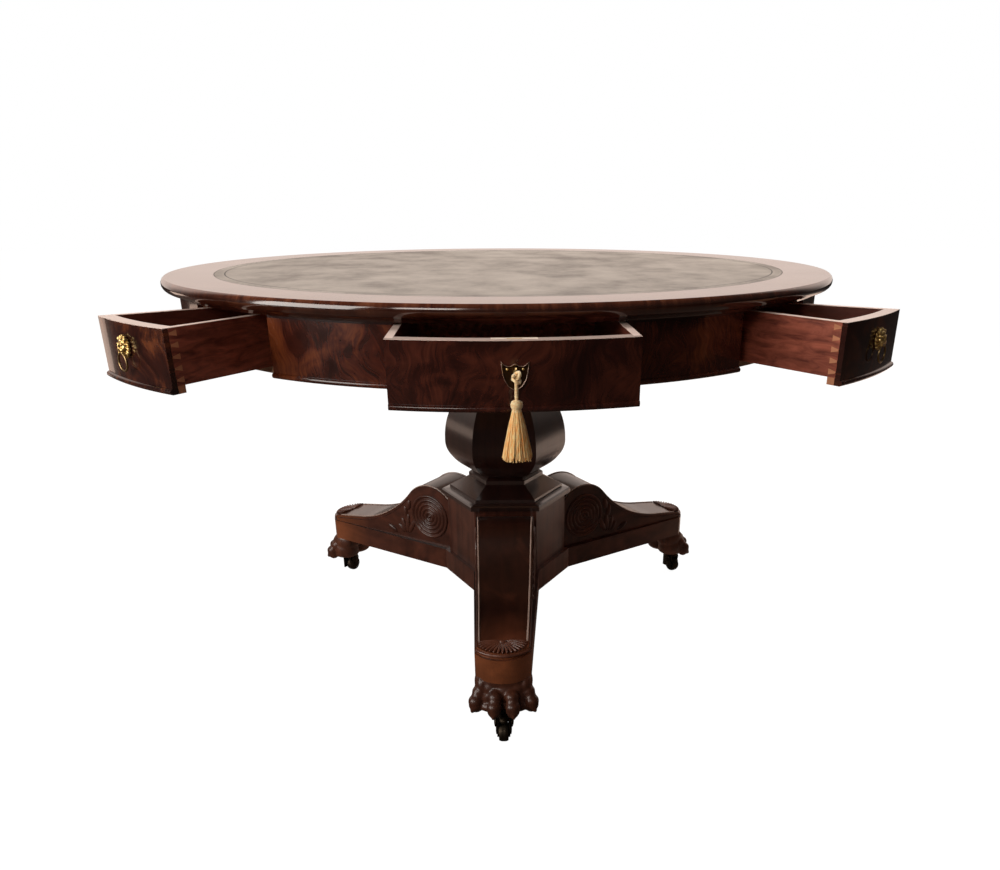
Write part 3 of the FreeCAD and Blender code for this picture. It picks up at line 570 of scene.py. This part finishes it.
def sculpted(name, parts, material, voxel=0.0, rounds=3):
    """An object from a bmesh; with a voxel size the lumps are melted into one skin."""
    data = bpy.data.meshes.new(name)
    parts.to_mesh(data)
    parts.free()
    data.polygons.foreach_set("use_smooth", [True] * len(data.polygons))
    data.materials.append(material)
    made = bpy.data.objects.new(name, data)
    scene.collection.objects.link(made)
    if voxel:
        melt = made.modifiers.new("melt", "REMESH")
        melt.mode = "VOXEL"
        melt.voxel_size = voxel
        melt.use_smooth_shade = True
        ease = made.modifiers.new("ease", "SMOOTH")
        ease.factor = 0.5
        ease.iterations = rounds
    return made


# Each leaf's root, out and up, its lean in degrees and its length.
LEAVES = ((0.226, 0.172, 62, 0.040), (0.231, 0.171, 84, 0.046), (0.236, 0.170, 104, 0.036),
          (0.240, 0.169, 128, 0.026), (0.262, 0.166, 150, 0.030), (0.232, 0.205, 96, 0.030),
          (0.226, 0.226, 78, 0.026))
LEAF_RISE = 0.0040
LEAF_HALF = 0.0062
FILLET_FROM = 0.225
FILLET_LONG = 0.222
FILLET_STEPS = 23
FILLET_DOWN = 0.006
FILLET_RADIUS = 0.0011
fillet_outs = [FILLET_FROM + FILLET_LONG * i / FILLET_STEPS for i in range(FILLET_STEPS + 1)]
for side, turn in LEG_TURNS.items():
    parts = bmesh.new()
    runs = []
    for hand in (-1, 1):
        for out, up, lean, long in LEAVES:
            reach = long / 2
            angle = math.radians(lean)
            centre_out = out - reach * math.cos(angle)
            centre = (hand * leg_half(centre_out), -centre_out, up + reach * math.sin(angle))
            blob(parts, centre, (LEAF_RISE, reach, LEAF_HALF), Matrix.Rotation(angle, 4, "X"))
        runs.append([(hand * (leg_half(out) + PROUD), -out, leg_top(out) - FILLET_DOWN)
                     for out in fillet_outs])
    put(sculpted("leaf_spray_" + side, parts, carved_wood), turn, 0, "base")
    fillet = curve_object("flank_fillet_" + side, runs, FILLET_RADIUS, carved_wood)
    put(fillet, turn, 0, "base")

# Shell: a fluted half round carved on the flat of each toe, its hinge towards the
# column and its rim along the bowed end.
RIBS = 17
SHELL_SPAN = 86
SHELL_OUT = 0.438
SHELL_HALF = 0.042
SHELL_LONG = 0.034
HINGE_AHEAD = 0.002
HINGE_OUT = 0.003
HINGE = (0.007, 0.004, 0.0030)
RIB_MIDDLE = 0.56
RIB_SHARE = 0.47
RIB_HALF = 0.0030
RIB_RISE = 0.0042
SHELL_LIFT = 0.0006
BOW_OUT = 0.4178
BOW_RADIUS = 0.0569
RIM_HALF = 0.0445
RIM_UP = 0.1635
RIM_RADIUS = 0.0032
RIM_STEPS = 24
shell_wood = mahogany("shell_wood", (0.03, 0.009, 0.006), (0.15, 0.050, 0.027), "out", rough=0.36, coat=0.5)
for side, turn in LEG_TURNS.items():
    parts = bmesh.new()
    for i in range(RIBS):
        angle = math.radians(-SHELL_SPAN + 2 * SHELL_SPAN * i / (RIBS - 1))
        tip = Vector((SHELL_HALF * math.sin(angle), -SHELL_LONG * math.cos(angle) - HINGE_AHEAD, 0))
        middle = Vector((0, -SHELL_OUT, 0)) + tip * RIB_MIDDLE
        wide = RIB_HALF * (0.55 + 0.45 * math.cos(angle))
        middle.z = leg_top(-middle.y) + SHELL_LIFT
        blob(parts, middle, (tip.length * RIB_SHARE, wide, RIB_RISE),
             Matrix.Rotation(math.atan2(tip.y, tip.x), 4, "Z"))
    blob(parts, (0, -SHELL_OUT - HINGE_OUT, leg_top(SHELL_OUT) + SHELL_LIFT), HINGE)
    put(sculpted("toe_shell_" + side, parts, shell_wood), turn, 0, "base")
    rim = []
    for i in range(RIM_STEPS + 1):
        across = RIM_HALF * (2 * i / RIM_STEPS - 1)
        rim.append((across, -(BOW_OUT + math.sqrt(BOW_RADIUS ** 2 - across ** 2)), RIM_UP))
    put(curve_object("toe_rim_" + side, [rim], RIM_RADIUS, shell_wood), turn, 0, "base")

# Paws: lion's feet carved in mahogany, four toes with knuckles and claws under a
# plain wrist, doweled up into the end block of each leg.
PAW_VOXEL = 0.0015
PAW_ROUNDS = 16
# Middle and half sizes of the wrist, the instep and, on both sides, the heel's pads.
WRIST = ((0, -0.444, 0.108), (0.049, 0.034, 0.024))
INSTEP = ((0, -0.458, 0.088), (0.034, 0.026, 0.024))
PADS = (((0.037, -0.446, 0.099), (0.014, 0.028, 0.022)), ((0.020, -0.446, 0.096), (0.029, 0.032, 0.020)),
        ((0.024, -0.450, 0.078), (0.029, 0.031, 0.026)), ((0.020, -0.456, 0.066), (0.031, 0.034, 0.0145)))
# Each toe's place and splay in degrees, and the lumps along it: ahead, height and radius.
TOES = ((-0.0405, -0.462, -34), (-0.0140, -0.480, -8), (0.0140, -0.480, 8), (0.0405, -0.462, 34))
KNUCKLES = ((-0.006, 0.092, 0.0105), (0.003, 0.088, 0.0126), (0.009, 0.0815, 0.0106),
            (0.0140, 0.0745, 0.0130), (0.0145, 0.0675, 0.0122), (0.012, 0.0615, 0.0104))
KNUCKLE_FLAT = 0.9
CLAW = (0.0040, 0.0050, 0.0055)
CLAW_AHEAD = 0.0235
CLAW_UP = 0.0610
CLAW_TILT = math.radians(-18)


def both_sides(parts, lumps):
    """Adds lumps, each a middle and its half sizes, to the left and to the right."""
    for hand in (-1, 1):
        for (x, y, up), radii in lumps:
            blob(parts, (hand * x, y, up), radii)


def paw_lumps():
    """The lumps of one paw, drawn facing -Y under its leg."""
    parts = bmesh.new()
    blob(parts, *WRIST)
    both_sides(parts, PADS)
    blob(parts, *INSTEP)
    for x, y, splay in TOES:
        lean = Matrix.Rotation(math.radians(splay), 4, "Z")
        for ahead, up, thick in KNUCKLES:
            spot = Vector((x, y, up)) + lean @ Vector((0, -ahead, 0))
            blob(parts, spot, (thick, thick, thick * KNUCKLE_FLAT), lean)
        claw = Vector((x, y, CLAW_UP)) + lean @ Vector((0, -CLAW_AHEAD, 0))
        blob(parts, claw, CLAW, lean @ Matrix.Rotation(CLAW_TILT, 4, "X"))
    return parts


paw_wood = mahogany("paw_wood", (0.022, 0.007, 0.0045), (0.12, 0.038, 0.019), "up", rough=0.36, coat=0.25,
                    worn=(0.2, 0.072, 0.036))
for side, turn in LEG_TURNS.items():
    paw = sculpted("paw_" + side, paw_lumps(), paw_wood, PAW_VOXEL, PAW_ROUNDS)
    put(paw, turn, 0, "base")
    if side == "front":
        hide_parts("paw_feet")


# Casters: small brass casters gone black, each a plate screwed under the paw, a
# swivelling fork with rounded cheeks and a wheel on its axle.
def metal(name, dark, light, rough):
    """Old metal: bright where handled, darker and duller in the hollows."""
    material, tree, out = new_material(name)
    place = own_place(tree)
    cloud = cloudy(tree, place, 160, 6, 0.6)
    speck = cloudy(tree, place, 900)
    hollow = mapped(tree, add_node(tree, "NewGeometry").outputs["Pointiness"], 0.42, 0.54)
    bright = calc(tree, "MULTIPLY_ADD", cloud, 0.5, scaled(tree, hollow, 0.5))
    coat_with(tree, out, {
        "Base Color": ramp(tree, bright, (0.25, dark), (0.65, light)), "Metallic": 0.95,
        "Roughness": mapped(tree, cloud, 0.0, 1.0, rough + 0.15, rough - 0.05),
        "Normal": dented(tree, speck, 0.15, 0.0003)})
    return material


CASTER_OUT = 0.468
TRAILS = {"front": -4, "right": 30, "left": 150}
# Middle and half sizes of the fork's crown and, on both sides, of its cheek and its boss.
CROWN = ((0, -0.008, 0.0432), (0.0108, 0.0180, 0.0080))
FORK_SIDES = (((0.0140, -0.008, 0.0350), (0.0033, 0.0120, 0.0100)),
              ((0.0124, -0.014, 0.0220), (0.0017, 0.0085, 0.0095)))
black_brass = metal("black_brass", (0.008, 0.007, 0.006), (0.045, 0.034, 0.024), 0.45)
dress(black_brass, "caster_plates")
for side, turn in LEG_TURNS.items():
    dress(black_brass, "caster_fork_" + side, "caster_wheel_" + side)
    parts = bmesh.new()
    blob(parts, *CROWN)
    both_sides(parts, FORK_SIDES)
    horn = sculpted("caster_horn_" + side, parts, black_brass)
    centre = around(turn, CASTER_OUT).to_translation()
    horn.matrix_world = Matrix.Translation(centre) @ around(TRAILS[side])
    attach(horn, "caster_fork_" + side)

# Bearing, pivot and carcase: a disc screwed to the column's crown, the steel pin that
# the drum turns on, and the hub, pine floor and guides inside the drum.
carcase_wood = mahogany("carcase_wood", (0.10, 0.045, 0.022), (0.24, 0.12, 0.06), "round", rough=0.5,
                        coat=0.0)
pale_pine = mahogany("pale_pine", (0.34, 0.21, 0.13), (0.58, 0.40, 0.26), "round", rough=0.55, coat=0.0)
dress(carcase_wood, "bearing_plate", "drum_hub")
dress(pale_pine, "drum_floor", "drawer_guides")
dress(metal("pin_steel", (0.12, 0.12, 0.12), (0.5, 0.5, 0.5), 0.35), "pivot_pin")

# Frieze and drawer fronts: a curved pine ring veneered with flame mahogany over a
# half-round bead; the drawer fronts carry the same veneer and show their core at the edges.
FRIEZE_RADIUS = 0.582
VENEER_DEEP = 0.0085
CORE = (0.74, 0.33, 0.18)
# Pale top edges of the drawers: bare wood, made paler still as painted light falling on them.
LIP = (0.97, 0.77, 0.68)
FRIEZE_LIP = (0.03, 0.007, 0.005)


def flame(name, tones, lip, turn, out, shift=0.0):
    """Veneer in three tones over a core, drawn with the drawer shut and turned to face -Y."""
    material, tree, output = new_material(name)
    shut = add_node(tree, "Mapping", {
        "Vector": own_place(tree), "Rotation": (0, 0, math.radians(-turn)), "Location": (0, out, 0)})
    angle, radius, z = round_place(tree, shut.outputs[0])
    arc = calc(tree, "MULTIPLY_ADD", angle, 0.6, shift)
    flat = vector_of(tree, scaled(tree, arc, 8.0), 0.0, scaled(tree, z, 10.0))
    sway = add_node(tree, "TexNoise", {"Vector": flat, "Scale": 0.9, "Detail": 2})
    swing = add_node(tree, "VectorMath", {0: sway.outputs["Color"], "Scale": 1.4}, operation="SCALE")
    bent = add_node(tree, "VectorMath", {0: flat, 1: swing.outputs[0]}, operation="ADD").outputs[0]
    plume = cloudy(tree, bent, 1.2, 4, warp=1.2)
    leaning = add_node(tree, "Mapping", {
        "Vector": bent, "Rotation": (0, math.radians(28), 0), "Scale": (9.0, 1.0, 1.3)})
    feather = cloudy(tree, leaning.outputs[0], 1.5, 5, warp=1.6)
    figure = calc(tree, "MULTIPLY_ADD", plume, 0.62, scaled(tree, feather, 0.38))
    veneer = ramp(tree, figure, *zip((0.38, 0.50, 0.64), tones))
    grain = cloudy(tree, vector_of(tree, scaled(tree, angle, 6.0), 0.0, scaled(tree, z, 90.0)), 1.0, 5)
    raw = ramp(tree, grain, (0.3, darker(CORE, 0.65)), (0.7, CORE))
    edge = ramp(tree, grain, (0.3, darker(lip, 0.8)), (0.7, lip))
    skin = calc(tree, "GREATER_THAN", radius, FRIEZE_RADIUS - VENEER_DEEP)
    colour = blend(tree, skin, raw, veneer)
    colour = blend(tree, calc(tree, "GREATER_THAN", z, LIP_UP), colour, edge)
    coat_with(tree, output, {
        "Base Color": colour, "Roughness": mapped(tree, plume, 0.0, 1.0, 0.14, 0.32),
        "Normal": dented(tree, feather, 0.08, 0.0004), "Coat Weight": 0.6, "Coat Roughness": 0.05,
        "Specular IOR Level": 0.35})
    return material


frieze_tones = ((0.018, 0.0038, 0.0024), (0.06, 0.012, 0.006), (0.17, 0.042, 0.013))
dress(flame("frieze_flame", frieze_tones, FRIEZE_LIP, 0, 0), "frieze_panels")
# Each drawer's turn in degrees and how far it is drawn out at rest.
WIDE = {"front": (0, 0.117), "right": (90, 0), "back": (180, 0), "left": (270, 0)}
WEDGE = {"front_left": (315, 0.148), "front_right": (45, 0.153), "back_right": (135, 0),
         "back_left": (225, 0)}
for side, (turn, out) in {**WIDE, **WEDGE}.items():
    orange = (0.085, 0.020, 0.011) if side == "front" else (0.16, 0.044, 0.015)
    tones = ((0.014, 0.0034, 0.0026), (0.036, 0.0080, 0.0052), orange)
    dress(flame("flame_" + side, tones, LIP, turn, out, turn * 0.7), side + "_drawer_front")


# Top: a solid mahogany board, its border cross-banded so that the grain runs out to
# the moulded nose, French-polished to a mirror.
def banded(name):
    """Cross-banding in short lengths about the axis, with painted shade: darker the less a face looks up,
    nearly black under the nose.
    """
    material, tree, out = new_material(name)
    turn, radius, z = round_place(tree)
    run = vector_of(tree, scaled(tree, turn, 46.0), scaled(tree, radius, 7.0), scaled(tree, z, 7.0))
    band = cloudy(tree, run, 1.0, 7, warp=0.9)
    length = cloudy(tree, vector_of(tree, scaled(tree, turn, 4.0), 0.0, 0.0), 1.0)
    figure = calc(tree, "MULTIPLY_ADD", band, 0.7, scaled(tree, length, 0.3))
    colour = ramp(tree, figure, (0.36, (0.06, 0.014, 0.007)), (0.52, (0.15, 0.04, 0.018)),
                  (0.66, (0.26, 0.085, 0.04)))
    # Painted shade: faces that turn away from above are darkened, nearly to black underneath.
    colour = blend(tree, mapped(tree, upward(tree), 0.2, 0.9, 0.2, 1.0), (0.012, 0.003, 0.002, 1), colour)
    cloud = cloudy(tree, own_place(tree), 9, 5)
    coat_with(tree, out, {
        "Base Color": colour, "Roughness": mapped(tree, cloud, 0.0, 1.0, 0.06, 0.26),
        "Normal": dented(tree, band, 0.05, 0.0004), "Coat Weight": 1.0, "Coat Roughness": 0.08})
    return material


dress(banded("banded_top"), "top_board")

# Leather: one round hide skiver let into the top, worn to a dull taupe, with a blind
# tooled border of two fillets and a running wave between them.
LINE_OUTER = 0.5225
LINE_INNER = 0.5045
WAVE_MIDDLE = 0.5135
WAVE_HALF = 0.0030
WAVE_RATE = 150.0


def tooled_leather(name):
    """Stained hide with pebbled grain and three lines pressed into its border."""
    material, tree, out = new_material(name)
    turn, radius = round_place(tree)[:2]
    place = own_place(tree)
    drag = add_node(tree, "Mapping", {"Vector": place, "Scale": (4.6, 3.4, 1.0)})
    stain = cloudy(tree, drag.outputs[0], 2.2, 7, 0.65)
    hide = ramp(tree, stain, (0.34, (0.21, 0.18, 0.15)), (0.5, (0.40, 0.353, 0.304)),
                (0.66, (0.52, 0.465, 0.405)))
    swing = calc(tree, "SINE", scaled(tree, turn, WAVE_RATE))
    wave = calc(tree, "MULTIPLY_ADD", swing, WAVE_HALF, WAVE_MIDDLE)
    lines = 0.0
    for centre, half, depth in ((LINE_OUTER, 0.0011, 0.9), (LINE_INNER, 0.0012, 1.0), (wave, 0.0008, 0.45)):
        line = scaled(tree, calc(tree, "COMPARE", radius, centre, half), depth)
        lines = calc(tree, "MAXIMUM", lines, line)
    colour = blend(tree, scaled(tree, lines, 0.85), hide, (0.012, 0.009, 0.007, 1))
    pebble = add_node(tree, "TexVoronoi", {"Vector": place, "Scale": 420})
    raised = calc(tree, "MULTIPLY_ADD", lines, -1.0, scaled(tree, pebble.outputs["Distance"], 0.3))
    coat_with(tree, out, {
        "Base Color": colour, "Roughness": mapped(tree, stain, 0.0, 1.0, 0.42, 0.66),
        "Normal": dented(tree, raised, 0.25, 0.0006), "Specular IOR Level": 0.4})
    return material


dress(tooled_leather("tooled_leather"), "leather_panel")

# Drawer boxes: mahogany-lined, with the grain along the sides, dovetailed into the
# fronts; the wedge-shaped drawers taper in towards the middle of the drum.
for side, (turn, out) in {**WIDE, **WEDGE}.items():
    # Each lining has painted shade on its floor and inner faces.
    lining = mahogany("lining_" + side, (0.13, 0.030, 0.019), (0.47, 0.130, 0.078), "out", 4.0, rough=0.34,
                      coat=0.25, edge=(0.36, 0.66), lip=LIP, drawer=turn)
    names = ("_box",)
    if side == "front":
        names = ("_sides", "_back", "_bottom")
    elif out:
        names = ("_walls", "_bottom")
    dress(lining, *[side + "_drawer" + name for name in names])

# Lock and key: a brass lock case let into the front drawer's front, with a brass bolt
# that its key with a ring bow throws up into the top.
brass = metal("brass", (0.20, 0.11, 0.03), (0.83, 0.60, 0.24), 0.26)
pale_brass = metal("pale_brass", (0.50, 0.40, 0.30), (0.95, 0.84, 0.70), 0.3)
dress(brass, "front_drawer_lock_bolt", "key")
dress(pale_brass, "front_drawer_lock_case")

# Shields: thin brass plates, dark as a painted reflection of the dim room, with a pointed foot over the
# keyhole of every wide drawer;
# the front one has eared corners, a bead round it painted pale as a glint, and two round brass pins.
SHIELD_HALF = 0.0165
SHIELD_THICK = 0.0014
BEAD_PROUD = 0.0012
SHIELD_BEAD = 0.0005
PIN_SIDE = 0.0095
PIN_UP = 0.6868
PIN_PROUD = 0.0016
PIN = (0.0016, 0.0012, 0.0016)
right_edge = [(0.0, 0.6930), (0.0045, 0.6905), (0.0095, 0.6900), (0.0135, 0.6920), (SHIELD_HALF, 0.6955),
              (0.0158, 0.6890), (0.0150, 0.6820), (0.0125, 0.6735), (0.0080, 0.6665), (0.0, 0.6613)]
shield_line = right_edge + [(-x, z) for x, z in reversed(right_edge[1:-1])]


def on_front(x, z, proud):
    """A point standing proud of the bowed drawer front, drawn closed and facing -Y."""
    return (x, -(math.sqrt(FRIEZE_RADIUS ** 2 - x ** 2) + proud), z)


# Painted reflection: the plates are coloured dark for the dim room they face, and their rim is painted pale
# as a glint.
brass_dark_reflection = metal("brass_dark_reflection", (0.018, 0.009, 0.005), (0.085, 0.045, 0.02), 0.3)
brass_rim_glint = metal("brass_rim_glint", (0.10, 0.055, 0.04), (0.62, 0.44, 0.36), 0.3)
for side in ("right", "back", "left"):
    dress(brass_dark_reflection, side + "_drawer_lock")
front_out = WIDE["front"][1]
count = len(shield_line)
verts = [on_front(x, z, proud) for proud in (SHIELD_THICK, 0.0) for x, z in shield_line]
faces = [tuple(range(count))]
for i in range(count):
    after = (i + 1) % count
    faces.append((i, after, count + after, count + i))
plate = mesh_object("shield_plate", verts, faces, brass_dark_reflection, False)
put(plate, 0, front_out, "front_drawer")
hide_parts("front_drawer_escutcheon")
rim_run = [on_front(x, z, BEAD_PROUD) for x, z in shield_line + shield_line[:1]]
put(curve_object("shield_rim", [rim_run], SHIELD_BEAD, brass_rim_glint), 0, front_out, "front_drawer")
parts = bmesh.new()
for x in (-PIN_SIDE, PIN_SIDE):
    blob(parts, on_front(x, PIN_UP, PIN_PROUD), PIN)
put(sculpted("shield_pins", parts, brass), 0, front_out, "front_drawer")

# Lion masks: cast and chased brass, a maned face with a ring through its mouth, pinned
# to the middle of each wedge-shaped drawer front.
MASK_UP = 0.689
MASK_VOXEL = 0.0005
MASK_ROUNDS = 1
MANE_LOCKS = 15
MANE_OUT = 0.5850
MANE_HALF = 0.0112
MANE_TALL = 0.0122
LOCK = (0.0018, 0.0026, 0.0042)
LOCK_TWIST = 0.3
# Middle and half sizes of each lump, drawn with the drawer shut and facing -Y.
SKULL = (((0, -0.5835, MASK_UP), (0.0125, 0.0035, 0.0138)),
         ((0, -0.5870, MASK_UP + 0.001), (0.0088, 0.0045, 0.0098)))
CHEEKS = (((0.0034, -0.5905, MASK_UP - 0.0040), (0.0038, 0.0030, 0.0030)),
          ((0.0042, -0.5905, MASK_UP + 0.0042), (0.0034, 0.0022, 0.0016)),
          ((0.0060, -0.5880, MASK_UP - 0.0010), (0.0030, 0.0028, 0.0035)),
          ((0.0086, -0.5870, MASK_UP + 0.0096), (0.0030, 0.0024, 0.0030)),
          ((0.0046, -0.5890, MASK_UP - 0.0080), (0.0018, 0.0040, 0.0034)))
NOSE = (((0, -0.5915, MASK_UP + 0.0010), (0.0018, 0.0028, 0.0048)),
        ((0, -0.5925, MASK_UP - 0.0016), (0.0028, 0.0020, 0.0018)),
        ((0, -0.5885, MASK_UP + 0.0080), (0.0046, 0.0030, 0.0032)))


def lion_lumps():
    """The lumps of one mask: skull, cheeks on both sides, nose, then the mane."""
    parts = bmesh.new()
    for middle, radii in SKULL:
        blob(parts, middle, radii)
    both_sides(parts, CHEEKS)
    for middle, radii in NOSE:
        blob(parts, middle, radii)
    for i in range(MANE_LOCKS):
        angle = 2 * math.pi * i / MANE_LOCKS
        spot = (MANE_HALF * math.sin(angle), -MANE_OUT, MASK_UP + MANE_TALL * math.cos(angle))
        blob(parts, spot, LOCK, Matrix.Rotation(angle + LOCK_TWIST, 4, "Y"))
    return parts


ring_brass = metal("ring_brass", (0.05, 0.030, 0.014), (0.36, 0.25, 0.12), 0.3)
for side, (turn, out) in WEDGE.items():
    made = sculpted("lion_mask_" + side, lion_lumps(), brass, MASK_VOXEL, MASK_ROUNDS)
    put(made, turn, out, side + "_drawer")
    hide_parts(side + "_drawer_mask")
    dress(ring_brass, side + "_drawer_ring")
